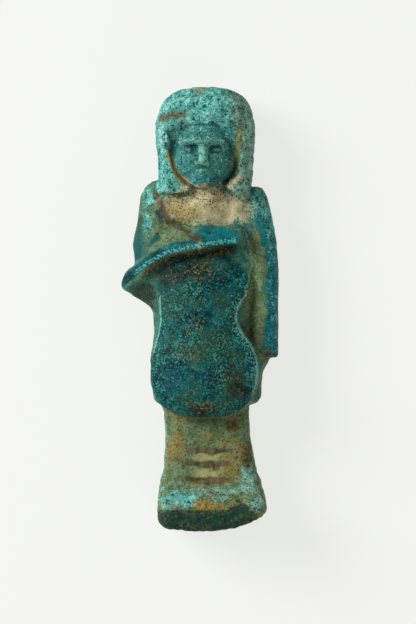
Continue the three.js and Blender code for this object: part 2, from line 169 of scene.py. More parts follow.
def face_shape(x, y, z):
    """Both halves at once: each feature is placed by its distance from the middle."""
    side = np.abs(x - face_middle)
    z = z - face_rise
    skull = pillow((side, y, z), (0, 36.2, 7.2), (7.5, 7.8, 9.0), 2.4)
    jaw = pillow((side, y, z), (0, 32.6, 7.8), (6.7, 6.2, 8.6), 2.3)
    chin = ball(side, y, z, (0, 28.3, 14.6), (2.3, 1.6, 1.5))
    cheek = ball(side, y, z, (3.8, 32.9, 13.6), (2.3, 2.5, 1.9))
    eye_hollow = ball(side, y, z, (3.2, 35.7, 17.6), (2.6, 1.6, 2.8))
    eye = ball(side, y, z, (3.1, 35.4, 14.2), (1.7, 0.85, 1.4))
    brow = bar(side, y, z, (1.1, 37.3, 16.1), (5.1, 36.9, 14.7), 0.55, 0.35)
    nose = bar(side, y, z, (0, 36.6, 16.1), (0, 32.9, 18.0), 0.7, 1.1)
    nostril = ball(side, y, z, (1.1, 32.5, 16.5), (0.9, 0.75, 0.9))
    upper_lip = bar(side, y, z, (0, 30.8, 16.6), (2.0, 30.5, 15.5), 0.55, 0.3)
    lower_lip = bar(side, y, z, (0, 29.75, 16.4), (1.5, 30.0, 15.6), 0.55, 0.3)
    shape = join(join(join(skull, jaw, 3.0), chin, 1.8), cheek, 1.5)
    shape = cut(shape, eye_hollow, 0.7)
    shape = join(join(shape, eye, 0.15), brow, 0.7)
    shape = join(join(shape, nose, 0.5), nostril, 0.35)
    return join(shape, join(upper_lip, lower_lip, 0.12), 0.4)


def ear_shape(x, y, z):
    side = np.abs(x - face_middle)
    shell = ball(side, y, z, (8.7, 37.9, 14.8), (1.1, 2.1, 1.6))
    return cut(shell, ball(side, y, z, (8.7, 38.1, 16.5), (0.5, 1.2, 0.9)), 0.3)


# The trunk and the arms: a plain chest, one arm bent across the waist under a sleeve, and one
# straight down the side of the kilt, all of the same pressed paste.

def trunk(x, y, z, left, right, back, front, edge, top, top_edge, bottom, bottom_edge):
    """A slab that also ends above and below, each end with its own rounding."""
    shape = slab(x, z, left, right, back, front, edge)
    shape = common(shape, y - top, top_edge)
    return common(shape, bottom - y, bottom_edge)


torso_left = profile([-4, -9.5], [2, -10.0], [9, -11], [20, -11.5], [24, -11.5], [28, -10.6])
torso_right = profile([-4, 12], [9, 13], [20, 13], [24, 12], [28, 10])
torso_front = profile([-4, 11.0], [6, 12.4], [14, 12.8], [20, 12.4], [25, 11.8], [29, 11.0])


def torso_shape(x, y, z):
    chest = trunk(
        x, y, z, left=torso_left(y), right=torso_right(y), back=0.5, front=torso_front(y),
        edge=4.6, top=27.6, top_edge=2.5, bottom=-4, bottom_edge=2.5,
    )
    neck = bar(x, y, z, (face_middle, 24, 8.5), (face_middle, 30, 8.5), 5.0, 4.6)
    return join(chest, neck, 3.0)


shoulder = (-9.3, 23.8, 7.2)
biceps = (-10.9, 14.0, 8.4)
elbow_pit = (-11.6, 7.0, 9.4)
upper_arm_thickness = (4.1, 4.15, 3.4)
elbow = (-14.7, 6.6, 11.2)
near_forearm = (-10.9, 10.4, 13.6)
forearm_middle = (-6.6, 12.5, 15.3)
wrist = (1.0, 14.1, 16.8)
fingertips = (8.8, 15.4, 16.7)
crest_thickness = (2.7, 2.0, 1.5, 1.25, 1.2)
shelf_drop = np.array([-0.6, 1.7, -2.4])
shelf_thickness = (2.0, 2.1, 1.6)
elbow_tip = (-16.3, 5.2, 10.8)
elbow_tip_reach = (1.6, 1.6, 2.2)


def limb(x, y, z, route, thickness, radius):
    """Round bars from place to place of a route, run together."""
    shape = bar(x, y, z, *route[:2], *thickness[:2])
    for k in range(1, len(route) - 1):
        stretch = bar(x, y, z, *route[k:k + 2], *thickness[k:k + 2])
        shape = join(shape, stretch, radius)
    return shape


def upper_arm_shape(x, y, z):
    return limb(x, y, z, (shoulder, biceps, elbow_pit), upper_arm_thickness, 1.5)


def forearm_shape(x, y, z):
    """A sharp crest from the elbow to the hand, with a slope above it and none below."""
    route = (elbow, near_forearm, forearm_middle, wrist, fingertips)
    crest = limb(x, y, z, route, crest_thickness, 1.0)
    shelf_route = [place + shelf_drop for place in route[2:]]
    slope = limb(x, y, z, shelf_route, shelf_thickness, 1.0)
    tip = ball(x, y, z, elbow_tip, elbow_tip_reach)
    return join(join(crest, slope, 2.2), tip, 1.4)


def sleeve_shape(x, y, z):
    hem = bar(x, y, z, (-13.9, 4.6, 9.2), (-7.5, 2.0, 8.0), 2.5, 3.2)
    fold = bar(x, y, z, (-12.6, 7.0, 7.5), (-7.0, 3.0, 8.5), 2.8, 3.6)
    return join(hem, fold, 2.0)


arm_inner = profile([-12, 11.9], [-6, 11.2], [4, 11.2], [12, 11.0], [20, 9.6], [26, 8.0])
arm_outer = profile(
    [-12, 17.6], [0, 17.65], [10, 17.6], [16, 17.1], [21, 16.2], [24.5, 15.3], [27, 14.4]
)
arm_front = profile([-12, 12.2], [0, 12.6], [10, 12.8], [18, 12.4], [24, 11.2], [27, 9.6])


def straight_arm_shape(x, y, z):
    return trunk(
        x, y, z, left=arm_inner(y), right=arm_outer(y), back=1.2, front=arm_front(y),
        edge=3.0, top=27.6, top_edge=1.8, bottom=-11.3, bottom_edge=0.9,
    )


# The kilt: a long skirt of the same paste, whose stiff front panel stands far out. The panel
# is waisted like the body of a fiddle and deepest at its hem above the shins.

kilt_right = profile([-22, 13.8], [-17, 14.0], [-14.5, 14.3], [-12.5, 15.4], [-10, 16], [-6, 15])
panel_crest = profile(
    [-25, 19.6], [-21, 20.9], [-16, 20.9], [-10, 19.6], [-4, 18.3],
    [2, 17.2], [7, 15.8], [11, 14.5], [16, 14.2], [19, 13.8],
)
panel_crown = 2.2
panel_half = 11.5
panel_root = 4


def kilt_shape(x, y, z):
    return trunk(
        x, y, z, left=-10.6, right=kilt_right(y), back=-0.5, front=10.5,
        edge=3.6, top=4, top_edge=2.0, bottom=-21.9, bottom_edge=2.4,
    )


def panel_outline(x, y):
    upper = pillow((x, y), (1.5, 9.4), (10.2, 8.8), 3.5)
    waist = np.maximum(np.abs(x + 0.5) - 8.9, np.abs(y + 2) - 8)
    lower = pillow((x, y), (0.9, -14.4), (12.2, 10.4), 2.5)
    return join(join(upper, waist, 3.5), lower, 3.5)


def panel_shape(x, y, z):
    front = panel_crest(y) - panel_crown * ((x - face_middle) / panel_half) ** 2
    return common(common(panel_outline(x, y), z - front, 2.2), panel_root - z, 1.0)


# The shins and feet: one block of the same paste below the hem, flat behind, with the toes
# standing up in front over a worn sole.

leg_left = profile([-44, -9.0], [-40, -8.7], [-34, -8.2], [-28, -8.0], [-22, -8.6])
leg_right = profile([-44, 14.2], [-40, 13.4], [-34, 12.1], [-28, 11.2], [-22, 10.9])
leg_front = profile([-46, 12.2], [-40, 12.3], [-30, 12.6], [-20, 12.6])
foot_left = profile([-50, -9.0], [-48, -9.5], [-45, -9.6], [-42, -9.2], [-38, -8.4])
foot_right = profile([-50, 14.2], [-46, 14.7], [-44, 14.6], [-42, 14.1], [-38, 12.9])
foot_front = profile(
    [-51, 18.8], [-49, 20.0], [-46, 20.6], [-44, 20.3], [-42, 18.0], [-40, 14.6], [-38, 12.4]
)
sole = profile(
    [-11, -48.4], [-8, -49.4], [-2, -50.0], [4, -49.9], [9, -49.0], [12, -47.7], [16, -45.4]
)


def leg_shape(x, y, z):
    return trunk(
        x, y, z, left=leg_left(y), right=leg_right(y), back=0.8, front=leg_front(y),
        edge=3.0, top=-18, top_edge=1.0, bottom=-46, bottom_edge=1.0,
    )


def foot_shape(x, y, z):
    block = trunk(
        x, y, z, left=foot_left(y), right=foot_right(y), back=-0.5, front=foot_front(y),
        edge=3.2, top=-38.5, top_edge=1.5, bottom=-60, bottom_edge=1.0,
    )
    return common(block, sole(x) - y, 1.3)


# The pressed figure as one skin: all the parts run together, the back lies flat, and the
# surface has the pits and grains of coarse faience paste.

def figure_shape(x, y, z):
    body = join(torso_shape(x, y, z), upper_arm_shape(x, y, z), 5.0)
    body = join(body, kilt_shape(x, y, z), 2.0)
    body = join(body, sleeve_shape(x, y, z), 2.0)
    body = join(body, straight_arm_shape(x, y, z), 0.8)
    body = join(body, panel_shape(x, y, z), 1.2)
    body = join(body, forearm_shape(x, y, z), 1.2)
    lower = join(leg_shape(x, y, z), foot_shape(x, y, z), 1.6)
    head = join(wig_shape(x, y, z), ear_shape(x, y, z), 0.25)
    head = join(head, face_shape(x, y, z), 0.3)
    return common(join(join(body, lower, 1.0), head, 0.5), -z, 1.0)


grid_step = 0.38
coarse_every = 4
near_skin = 1.6
grid_low = np.array([-19.0, -51.5, -1.1])
grid_high = np.array([19.0, 51.5, 23.2])


def distances_on_grid():
    """The figure's distances on a fine grid, worked out only near its skin."""
    wide = grid_step * coarse_every
    blocks = np.ceil((grid_high - grid_low) / wide).astype(int)
    centres = np.stack(
        np.meshgrid(*[(np.arange(n) + 0.5) * wide for n in blocks], indexing="ij"), axis=-1
    )
    centres = centres + grid_low
    rough = figure_shape(centres[..., 0], centres[..., 1], centres[..., 2])
    field = rough
    for axis in range(3):
        field = np.repeat(field, coarse_every, axis)
    near = np.argwhere(np.abs(rough) < wide * near_skin)
    inner = np.stack(np.meshgrid(*[np.arange(coarse_every)] * 3, indexing="ij"), axis=-1)
    nodes = (near[:, None, :] * coarse_every + inner.reshape(1, -1, 3)).reshape(-1, 3)
    places = grid_low + nodes * grid_step
    field[nodes[:, 0], nodes[:, 1], nodes[:, 2]] = figure_shape(*places.T)
    return field


def net_skin(field):
    """One vertex in each grid cell that the skin crosses, and one quad on each crossed edge."""
    inside = field < 0
    shape = np.array(field.shape)
    strides = np.array([shape[1] * shape[2], shape[2], 1])
    total = int(shape.prod())
    sums = np.zeros((total, 3))
    counts = np.zeros(total)
    quads = []
    for axis in range(3):
        low = [slice(None)] * 3
        high = [slice(None)] * 3
        low[axis] = slice(0, -1)
        high[axis] = slice(1, None)
        crossed = np.argwhere(inside[tuple(low)] != inside[tuple(high)])
        first = crossed @ strides
        second = first + strides[axis]
        near = field.ravel()[first]
        far = field.ravel()[second]
        place = crossed.astype(float)
        place[:, axis] += near / (near - far)
        u, v = (axis + 1) % 3, (axis + 2) % 3
        around = [first - strides[u] - strides[v], first - strides[v], first, first - strides[u]]
        for cell in around:
            counts += np.bincount(cell, minlength=total)
            for k in range(3):
                sums[:, k] += np.bincount(cell, weights=place[:, k], minlength=total)
        quad = np.stack(around, axis=1)
        outwards = inside.ravel()[first]
        quads.append(np.where(outwards[:, None], quad, quad[:, ::-1]))
    quads = np.concatenate(quads)
    used, faces = np.unique(quads, return_inverse=True)
    points = grid_low + grid_step * sums[used] / counts[used, None]
    return points, faces.reshape(-1, 4)


slope_step = 0.03


def slope_of(points):
    """The distances at the points, and how they change along x, y and z."""
    here = figure_shape(*points.T)
    slope = np.empty_like(points)
    for k in range(3):
        moved = points.copy()
        moved[:, k] += slope_step
        slope[:, k] = (figure_shape(*moved.T) - here) / slope_step
    return here, slope


def settle(points):
    """Puts the points back on the figure's form, and gives the way out of it."""
    here, slope = slope_of(points)
    steep = np.maximum((slope**2).sum(axis=1), 0.1)
    return points - slope * (here / steep)[:, None], slope / np.sqrt(steep)[:, None]


def even_out(points, faces, share):
    """Draws each point towards the middle of its neighbours."""
    sums = np.zeros_like(points)
    counts = np.zeros(len(points))
    for corner in range(4):
        here = faces[:, corner]
        for other in (faces[:, (corner + 1) % 4], faces[:, (corner + 3) % 4]):
            counts += np.bincount(here, minlength=len(points))
            for k in range(3):
                sums[:, k] += np.bincount(here, weights=points[other, k], minlength=len(points))
    return points + share * (sums / counts[:, None] - points)


noise_size = 64


def grain(points, size, seed):
    """Smooth noise between -1 and 1, with grains of the given size."""
    table = np.random.default_rng(seed).random((noise_size,) * 3) * 2 - 1
    place = points / size + 1000
    cell = np.floor(place).astype(int)
    t = place - cell
    t = t * t * (3 - 2 * t)
    total = 0
    for corner in range(8):
        step = np.array([corner & 1, corner >> 1 & 1, corner >> 2 & 1])
        weight = np.where(step, t, 1 - t).prod(axis=1)
        i, j, k = ((cell + step) % noise_size).T
        total = total + weight * table[i, j, k]
    return total


skin, faces = net_skin(distances_on_grid())
for _ in range(3):
    skin = even_out(skin, faces, 0.5)
    skin, outwards = settle(skin)

swell = 0.10
lump_depth = 0.09
coarser_depth = 0.12
neck_level = 24
instep_level = -38
fillet_level = 41
flat_depth = 1.5
flat_back = np.clip(skin[:, 2] / flat_depth, 0, 1)
coarse = np.clip(skin[:, 1] - neck_level, 0, 1) + np.clip(instep_level - skin[:, 1], 0, 1)
in_opening = np.clip(0.5 - opening_outline(skin[:, 0], skin[:, 1]), 0, 1)
in_opening = in_opening * np.clip(fillet_level - skin[:, 1], 0, 1)
lumps = 0.5 * grain(skin, 1.5, 2) + grain(skin, 0.85, 3)
lump_depths = lump_depth + coarser_depth * coarse * (1 - 0.6 * in_opening)
relief = swell * grain(skin, 3.0, 1) + lump_depths * lumps
places = skin + outwards * (relief * flat_back)[:, None]
places[:, 2] = np.maximum(places[:, 2], 0)
lowest, highest = places.min(axis=0), places.max(axis=0)
box_low, box_high = (np.array(corner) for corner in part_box("ushabti"))
points = box_low + (places - lowest) * (box_high - box_low) / (highest - lowest)

mesh = bpy.data.meshes.new("ushabti_skin")
mesh.from_pydata(points.tolist(), [], faces.tolist())
mesh.polygons.foreach_set("use_smooth", np.ones(len(faces), bool))
mesh.update()
figure = bpy.data.objects.new("ushabti_figure", mesh)
bpy.context.collection.objects.link(figure)


# The glaze: turquoise faience glaze over a pale sandy body. It has worn to a pale powder on
# what stands out, gone green and ochre in the hollows, and lost its colour on the chest. Some
# light and shade is painted in as well: painted shade in hollows, creases and undersides, and
# painted highlight on edges, the wig's left side, the forearm's crest and the panel's rim. The
# places are in the same hundredths of the length as the form.

ragged = skin + np.stack(
    [1.1 * grain(skin, 2.8, 11 + k) + 0.7 * grain(skin, 1.2, 21 + k) for k in range(3)], axis=1
)


def patch(*spots):
    """Ragged ovals seen from the front: each is middle x, middle y, half width, half height."""
    total = np.zeros(len(skin))
    for x, y, half_width, half_height in spots:
        away = np.hypot((ragged[:, 0] - x) / half_width, (ragged[:, 1] - y) / half_height)
        total = np.maximum(total, np.clip(1.5 - away, 0, 1))
    return total


def stroke(width, *route):
    """A painted line through places on the front, soft at its sides and ends."""
    nearest = np.full(len(skin), 1e3)
    place = skin[:, :2] * 0.7 + ragged[:, :2] * 0.3
    for start, end in zip(np.array(route[:-1], float), np.array(route[1:], float)):
        along = end - start
        t = np.clip((place - start) @ along / (along @ along), 0, 1)
        away = np.linalg.norm(place - start - t[:, None] * along, axis=1)
        nearest = np.minimum(nearest, away)
    return np.clip(1.5 - nearest / (width / 2), 0, 1)


def within(value, low, high, soft):
    """1 between two values and 0 outside them, with a soft change at each."""
    return np.clip((value - low) / soft + 0.5, 0, 1) * np.clip((high - value) / soft + 0.5, 0, 1)


def most(*masks):
    """The strongest of several masks at each point."""
    return np.maximum.reduce(masks)


def standing_out(reach):
    """1 on edges and tips, where the form is still close to its skin this far inside."""
    return np.clip(1 + figure_shape(*(skin - outwards * reach).T) / reach, 0, 1)


def closed_in(reach):
    """1 in corners and folds, where the form is still close to its skin this far outside."""
    return np.clip(1 - figure_shape(*(skin + outwards * reach).T) / reach, 0, 1)


# Named places on the figure, each 1 on the place and 0 away from it.
x, y, z = skin.T
front = np.clip(outwards[:, 2] * 1.6 + 0.25, 0, 1)
behind = 1 - front
crest_line = profile(
    [-18, 4.6], [-15.1, 7.3], [-10.7, 10.6], [-6.7, 12.5],
    [-2.6, 13.3], [3.9, 14.4], [8.0, 14.8], [13, 14.8],
)
above_crest = y - crest_line(x)
along_arm = within(x, -19, 9.2, 1.5) * front
arm_top = along_arm * within(above_crest, -0.6, 1.9, 1.0)
# The forearm's crest, where a highlight is painted along it.
ridge = along_arm * within(above_crest, -0.4, 0.7, 0.8) * within(x, -15.0, 8.4, 1.5)
# Just under the forearm's crest, where shadow is painted and ochre grains lie.
below_crest = along_arm * within(above_crest, -2.8, -0.5, 1.2) * within(x, -13.0, 8.0, 3.0)
palm = within(x, -0.5, 8.6, 1.5) * within(y, 13.4, 17.6, 1.5)
hand = front * most(patch((4.4, 16.0, 5.2, 1.7)), palm)
in_from_rim = -panel_outline(x, y)
on_panel = np.clip(0.5 + in_from_rim / 0.8, 0, 1) * np.clip(z - 13.2, 0, 1)
on_panel = on_panel * np.clip(-0.5 - above_crest, 0, 1)
on_wig = np.clip(y - wig_hem(x) + 0.5, 0, 1)
on_wig = on_wig * within(x, wig_left(y) - 0.5, wig_right(y) + 0.5, 0.6)
on_legs = np.clip(-21.5 - y, 0, 1) * (1 - on_panel)
visage = in_opening * on_wig
ear_away = np.hypot((np.abs(x - face_middle) - 8.9) / 1.3, (y - 37.9) / 2.3)
on_ear = np.clip(1.6 - ear_away, 0, 1)
beside_arm = x - arm_outer(y)
outer_arm = beside_arm + 1.6 * grain(skin, 5.0, 31) + 0.8 * grain(skin, 2.0, 32)
arm_seam = stroke(2.6, (12.0, 16.0), (12.2, 5.0), (13.6, -9.0))
arm_streak = front * stroke(2.2, (12.6, 23.0), (13.6, 19.5), (14.9, 15.0))
jaw_groove = most(
    stroke(1.8, (9.2, 40.0), (8.6, 36.0), (7.8, 31.0)),
    stroke(1.6, (-7.4, 34.4), (-5.8, 31.0), (-3.4, 27.8)),
)

# Where the form itself stands out or closes in, with wear and painted highlight on what stands out and
# painted shade in hollows and creases.
worn_reach = 0.9
feature_reach = 1.7
hollow_reach = 1.4
crease_reach = 0.55
worn_and_lit_edges = standing_out(worn_reach)
# Painted highlight: worn edges, and the face's nose, brows, cheeks and lips made paler.
edge = most(0.6 * worn_and_lit_edges, standing_out(feature_reach) * visage)
# Painted shade in the hollows, such as the eye sockets and under the wig's edge; the same hollows are
# also greened below.
hollow = closed_in(hollow_reach) * (1 - 0.9 * on_ear) * (1 - 0.6 * arm_seam)
# Painted shade in the tight creases.
crease = closed_in(crease_reach) * (1 - 0.5 * most(on_ear, arm_seam))
calm = flat_back * (1 - 0.45 * in_opening)
pits = np.clip(-lumps, 0, 1) * calm
tops = np.clip(lumps, 0, 1) * calm

# Where the glaze has gone to a pale, chalky or mossy powder, and where the wig's lit left side is painted
# paler.
upper_edge = within(beside_arm, -1.9, 1.0, 0.8) * within(y, 13.0, 26.5, 2.0)
lower_edge = within(beside_arm, -2.4, 1.0, 1.6) * within(y, -11.0, 14.0, 2.0)
pale = most(
    on_wig * (1 - 0.2 * in_opening) * (1 - 0.8 * jaw_groove),
    front * patch(
        (-11.8, 25.4, 1.6, 2.0), (13.6, 23.4, 2.6, 3.4), (-12.8, 20.0, 0.9, 2.6),
        (-5.6, -42.8, 4.4, 2.0), (9.8, -41.2, 4.0, 1.2), (10.8, -37.6, 1.4, 2.2),
        (12.6, -44.0, 1.4, 1.6), (-8.4, -45.6, 1.2, 1.8),
    ),
    upper_edge * np.clip(z / 4, 0, 1),
    0.55 * front * lower_edge,
    0.55 * front * patch((2.4, -41.2, 8.0, 1.5)),
    0.5 * front * patch((-13.2, 1.4, 3.4, 0.9)),
    0.55 * stroke(1.0, (-8.3, -24.0), (-8.1, -32.0), (-8.4, -39.0)),
    0.7 * on_legs * behind * np.clip(z / 6, 0, 1),
    0.3 * worn_and_lit_edges * (1 - on_legs),
)
# Painted light: the wig's left side, which faces the light, made paler, with its worn edges paler only on
# that side.
left_of_wig = 0.6 * within(x, -12, -8.0, 1.6) + 0.35 * within(x, -7.5, 1.0, 4.0)
chalk_and_lit_side = on_wig * (left_of_wig + 0.5 * on_ear + 0.8 * worn_and_lit_edges * (x < 5))
chalk_and_lit_side = most(chalk_and_lit_side * (1 - 0.7 * in_opening), 0.6 * on_legs) * (0.2 + 0.8 * front)
moss = most(
    on_wig * within(x, 6.5, 13.5, 5.0) * (1 - 0.6 * in_opening),
    on_legs * within(x, -1.0, 16.0, 5.0),
)

# Where it is still deep teal, with its bluer, brighter and rustier spots.
deep = most(
    on_panel, arm_top, hand, arm_streak,
    front * within(outer_arm, -2.9, 3.4, 1.6) * within(y, -12.0, 15.5, 3.0),
    0.8 * front * within(x, -18, -12.6, 2.6) * within(y, 10.0, 22.0, 3.0),
    0.9 * front * patch((-9.0, 20.4, 1.4, 1.2), (-10.8, 15.6, 1.2, 2.0)),
    0.7 * front * patch((13.2, -13.6, 1.6, 2.6), (12.8, -19.0, 1.4, 3.0)),
)
blue = patch(
    (-5.2, -16.6, 4.2, 2.4), (8.6, -2.6, 1.5, 2.6), (16.6, 8.0, 2.2, 8.0),
    (17.0, -6.0, 1.8, 5.0), (6.0, 16.2, 4.0, 1.2), (-13.6, 9.4, 3.0, 2.4),
    (0.8, 28.6, 4.2, 1.8), (16.6, 0.0, 2.2, 6.0), (-6.5, 25.6, 3.4, 0.8),
    (-2.0, 35.2, 1.2, 1.6), (-9.6, -8.0, 1.5, 3.0), (10.6, -13.0, 1.6, 4.0),
    (-14.4, 15.0, 1.2, 5.0),
)
glow = front * most(
    patch((4.0, 16.4, 5.4, 1.4), (-7.0, 13.8, 4.0, 0.7), (13.2, -13.6, 1.8, 3.0)),
    arm_streak,
    within(outer_arm, -2.6, 2.8, 1.6) * within(y, -10.0, 15.5, 3.0),
)
rust = on_panel * patch((7.4, -16.0, 4.2, 4.6), (4.6, -8.0, 2.8, 5.0), (-3.0, 4.5, 2.5, 4.0))
bright = most(
    patch((-4.6, 4.0, 4.6, 7.0), (-4.0, -8.0, 3.0, 4.0), (4.6, -12.0, 1.6, 8.0), (-6.0, -12.6, 3.0, 2.0)),
    within(in_from_rim, 0, 2.6, 2.0),
)
flecks = 0.3 + 0.6 * within(x, 14.4, 19, 1.5) + on_panel * (0.15 + 0.6 * bright)

# The panel's rim: a worn pale line with painted highlight, and frosted specks with painted sheen inside
# its right edge.
rim_sides = most(
    within(y, -20.0, 12.0, 3.0) * (x > 0),
    within(y, -11.0, 3.0, 3.0) * (x < 0),
)
# The rim's pale line, partly wear and partly painted highlight.
rim = np.clip(1 - np.abs(in_from_rim - 0.4) / 0.45, 0, 1) * np.clip(z - 13.5, 0, 1) * rim_sides
rim_above = stroke(0.5, (9.8, 17.2), (11.0, 14.0), (11.5, 9.8), (10.9, 6.2), (9.6, 3.2))
rim = most(rim, 0.8 * front * rim_above)
# Frosted specks with painted sheen inside the panel's right edge.
frost_and_sheen = np.clip(1 - in_from_rim / 2.2, 0, 1) * on_panel * within(y, -18.0, 3.0, 5.0) * (x > 0)

# Green hollows, the bare chest, and ochre and dirt caught below the arm, where shadow is painted too.
olive = most(
    on_legs * np.clip(z / 8, 0, 1),
    front * patch((-6.5, 18.0, 5.5, 7.0), (12.6, 1.0, 2.4, 15.0)),
    front * jaw_groove,
    0.4 * hollow,
)
chest_line = profile([-12, 24.5], [-9.0, 21.6], [-5.2, 17.8], [-0.3, 14.6], [4, 14])
above_line = np.clip(y - chest_line(x) + 0.2, 0, 1)
cream = front * above_line * (1 - arm_top) * (1 - 0.7 * hand) * most(
    patch((3.6, 22.4, 8.6, 4.6), (-4.0, 23.0, 5.2, 3.2), (0.6, 26.0, 5.0, 1.4)),
    0.66 * stroke(2.6, (4.6, 26.2), (7.0, 27.4), (9.0, 29.2)),
    0.9 * stroke(2.2, (-3.8, 28.4), (-2.8, 27.2), (-1.2, 25.8)),
)
pocked = 0.15 + 0.85 * patch((1.0, 25.2, 8.0, 2.6), (-4.4, 21.6, 3.4, 2.4))
faded = 0.85 * front * patch((1.6, -33.7, 3.6, 0.8), (1.2, -36.9, 3.4, 1.1))
ochre = front * most(
    patch((1.8, -44.4, 4.4, 1.7), (13.8, -43.1, 0.9, 0.8), (10.2, 2.4, 0.7, 1.6)),
    0.8 * patch((0.9, 50.0, 4.6, 0.9)),
    0.75 * patch((-2.8, 21.6, 3.0, 2.2), (-5.4, 22.6, 2.4, 1.6)),
    0.7 * patch((-5.6, -30.0, 1.6, 3.6), (1.6, -29.0, 2.2, 1.6), (6.8, -36.4, 1.6, 2.0)),
    0.95 * stroke(1.4, (-7.2, 33.8), (-5.8, 31.0), (-3.6, 28.0)),
    0.5 * stroke(1.2, (9.2, 39.6), (8.4, 34.0), (8.2, 30.0)),
    0.8 * stroke(0.7, (-0.2, 14.6), (-0.2, 12.4)),
)
# Painted shadow under the forearm's crest, under the elbow and on the panel's lower right, with dark grit
# at the hem.
shade_and_dirt = most(
    below_crest,
    front * patch((-6.5, 7.6, 3.6, 2.6), (-1.0, 8.6, 4.4, 2.4), (0.5, -22.8, 3.4, 1.1)),
    0.7 * front * patch((-12.0, 3.4, 4.2, 2.6), (8.0, -18.6, 3.0, 2.6)),
)
sandy_grains = most(
    patch((0.6, 8.4, 4.8, 2.4), (-3.2, -10.0, 4.2, 2.4), (-0.8, -5.6, 2.2, 3.6), (0.4, -22.2, 3.8, 1.5)),
    0.5 * patch((-0.4, 2.0, 1.2, 5.0), (6.5, -16.0, 5.0, 6.0)),
)
grains = most(np.maximum(sandy_grains, 0.2) * on_panel, 0.8 * below_crest)

# The painted strokes, the brown stains with painted shadow under the forearm and elbow, and the dark toes
# with painted shade.
fade_right = np.clip((9.5 - x) / 5, 0, 1)
leg_strokes = [
    shade * fade_right * stroke(1.35, (-2.8, level), (7.0, level - 0.25))
    for level, shade in [(-25.3, 0.6), (-32.2, 1.0), (-35.2, 1.0), (-38.8, 0.9)]
]
painted = front * most(
    stroke(1.6, (-9.1, 23.4), (-8.4, 21.4), (-7.0, 19.5), (-4.6, 18.0)),
    stroke(1.2, (-4.6, 18.0), (-2.8, 16.9), (-0.3, 15.2)),
    *leg_strokes,
)
brown = front * most(
    0.8 * stroke(2.2, (-10.4, 42.8), (-4.4, 43.2)),
    0.4 * stroke(0.9, (-4.4, 43.0), (4.6, 42.7)),
    patch(
        (15.4, -10.6, 1.3, 1.0), (-9.8, 25.4, 0.9, 1.4), (7.2, -26.6, 1.4, 1.4),
        (9.9, -34.0, 1.0, 3.2), (-11.1, 1.4, 0.9, 1.0),
    ),
    # Painted shadow under the forearm's crest.
    0.6 * patch((3.6, 11.6, 3.0, 0.8)),
    0.5 * patch((14.0, 8.0, 1.0, 4.5), (14.0, -5.0, 1.2, 4.0), (8.8, -19.4, 1.2, 1.2)),
    # A stain on the right of the shins, and painted shade under the elbow.
    0.45 * patch((8.8, -30.6, 2.0, 4.4), (-12.6, 3.8, 4.6, 2.6)),
)
# Dark glaze on the toes' front face, darkened further as painted shade.
dark_and_shaded_toes = most(
    within(y, -52, -45.4, 1.6) * within(x, -9.5, 12.0, 4.0) * np.clip(z / 8, 0, 1),
    front * patch((8.5, -45.0, 2.6, 0.9)),
)

zones = {
    "pale": pale, "chalk_and_lit_side": chalk_and_lit_side, "moss": moss, "visage": visage, "edge": edge,
    "hollow": hollow, "crease": crease, "pits": pits, "tops": tops,
    "deep": deep, "blue": blue, "glow": glow, "rust": rust, "flecks": flecks,
    "ridge": ridge, "rim": rim, "frost_and_sheen": frost_and_sheen, "shade_and_dirt": shade_and_dirt, "dark_and_shaded_toes": dark_and_shaded_toes,
    "olive": olive, "cream": cream, "pocked": pocked, "faded": faded,
    "ochre": ochre, "grains": grains, "painted": painted, "brown": brown,
}
for name, values in zones.items():
    mesh.attributes.new(name, "FLOAT", "POINT").data.foreach_set("value", values)


def colour(red, green, blue):
    """A colour as seen on a screen, as the shader's own values."""
    values = np.array([red, green, blue]) / 255
    linear = np.where(values <= 0.04045, values / 12.92, ((values + 0.055) / 1.055) ** 2.4)
    return (*linear.tolist(), 1.0)


glaze = bpy.data.materials.new("faience_glaze")
glaze.use_nodes = True
tree = glaze.node_tree


class Term:
    """A socket of the glaze's nodes, so that masks are written as plain sums."""

    def __init__(self, socket):
        self.socket = socket

    def math(self, operation, *values):
        return Term(node("ShaderNodeMath", {"operation": operation}, dict(enumerate(values))).outputs[0])

    def __add__(self, other):
        return self.math("ADD", self, other)

    __radd__ = __add__

    def __sub__(self, other):
        return self.math("SUBTRACT", self, other)

    def __rsub__(self, other):
        return self.math("SUBTRACT", other, self)

    def __mul__(self, other):
        return self.math("MULTIPLY", self, other)

    __rmul__ = __mul__

    def over(self, low, high):
        """0 below low, 1 above high and smooth between them."""
        settings = {"interpolation_type": "SMOOTHSTEP"}
        return Term(node("ShaderNodeMapRange", settings, {0: self, 1: low, 2: high}).outputs[0])


def node(kind, settings, values):
    """A node with its settings, then the values or links of its sockets."""
    made = tree.nodes.new(kind)
    for name, setting in settings.items():
        setattr(made, name, setting)
    for name, value in values.items():
        if isinstance(value, Term):
            tree.links.new(value.socket, made.inputs[name])
        else:
            made.inputs[name].default_value = value
    return made


def noise(size, detail=2.0, roughness=0.5, offset=0.0):
    """Noise with features of about the given size in millimetres."""
    place = node("ShaderNodeMapping", {}, {"Vector": here, "Location": (offset, offset, offset)})
    values = {"Vector": Term(place.outputs[0]), "Scale": 1 / (size * mm), "Detail": detail}
    return Term(node("ShaderNodeTexNoise", {}, {**values, "Roughness": roughness}).outputs[0])


def zone(name):
    """How much of a zone each place on the skin has."""
    return Term(node("ShaderNodeAttribute", {"attribute_name": name}, {}).outputs["Fac"])


def layered(base, *layers):
    """A colour with others laid over it in turn, each with its share."""
    for over, share in layers:
        made = node("ShaderNodeMix", {"data_type": "RGBA"}, {"Factor": share, 6: base, 7: over})
        base = Term(made.outputs[2])
    return base


